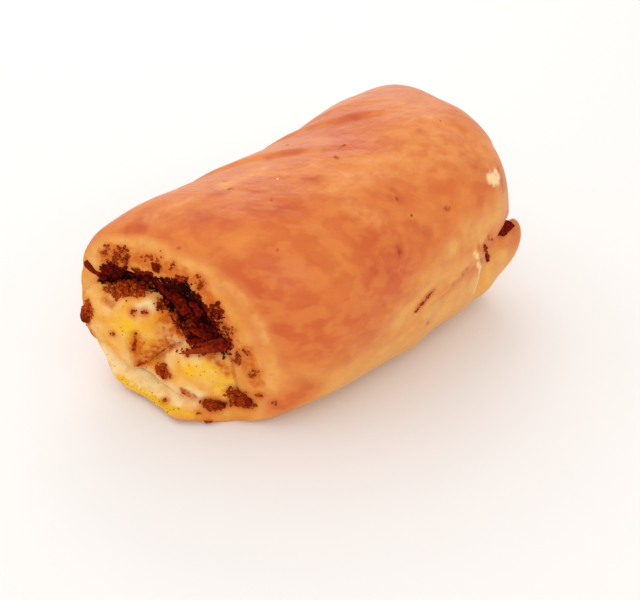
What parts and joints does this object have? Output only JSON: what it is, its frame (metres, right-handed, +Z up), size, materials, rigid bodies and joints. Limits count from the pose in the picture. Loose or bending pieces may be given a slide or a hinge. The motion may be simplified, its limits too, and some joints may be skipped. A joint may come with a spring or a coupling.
{
  "type": "curry bun",
  "caption": "Baked bun rolled from a sheet of dough round a dry curry filling that shows at its open front end, lying on its flat underside.",
  "frame": {"origin": "middle of the bounding box's underside, on the surface that the bun lies on", "axes": "+Y along the roll from its open front end to its rear end, +Z up, +X towards the flank where the outer edge of the sheet laps"},
  "size_m": [0.067, 0.1254, 0.0643],
  "materials": {
    "dough": "glazed golden-brown crust, cream crumb inside",
    "filling": "dry, crumbly, dark red-brown"
  },
  "bodies": {
    "root": {"dough_roll": "dough", "curry_filling": "filling"}
  },
  "joints": []
}
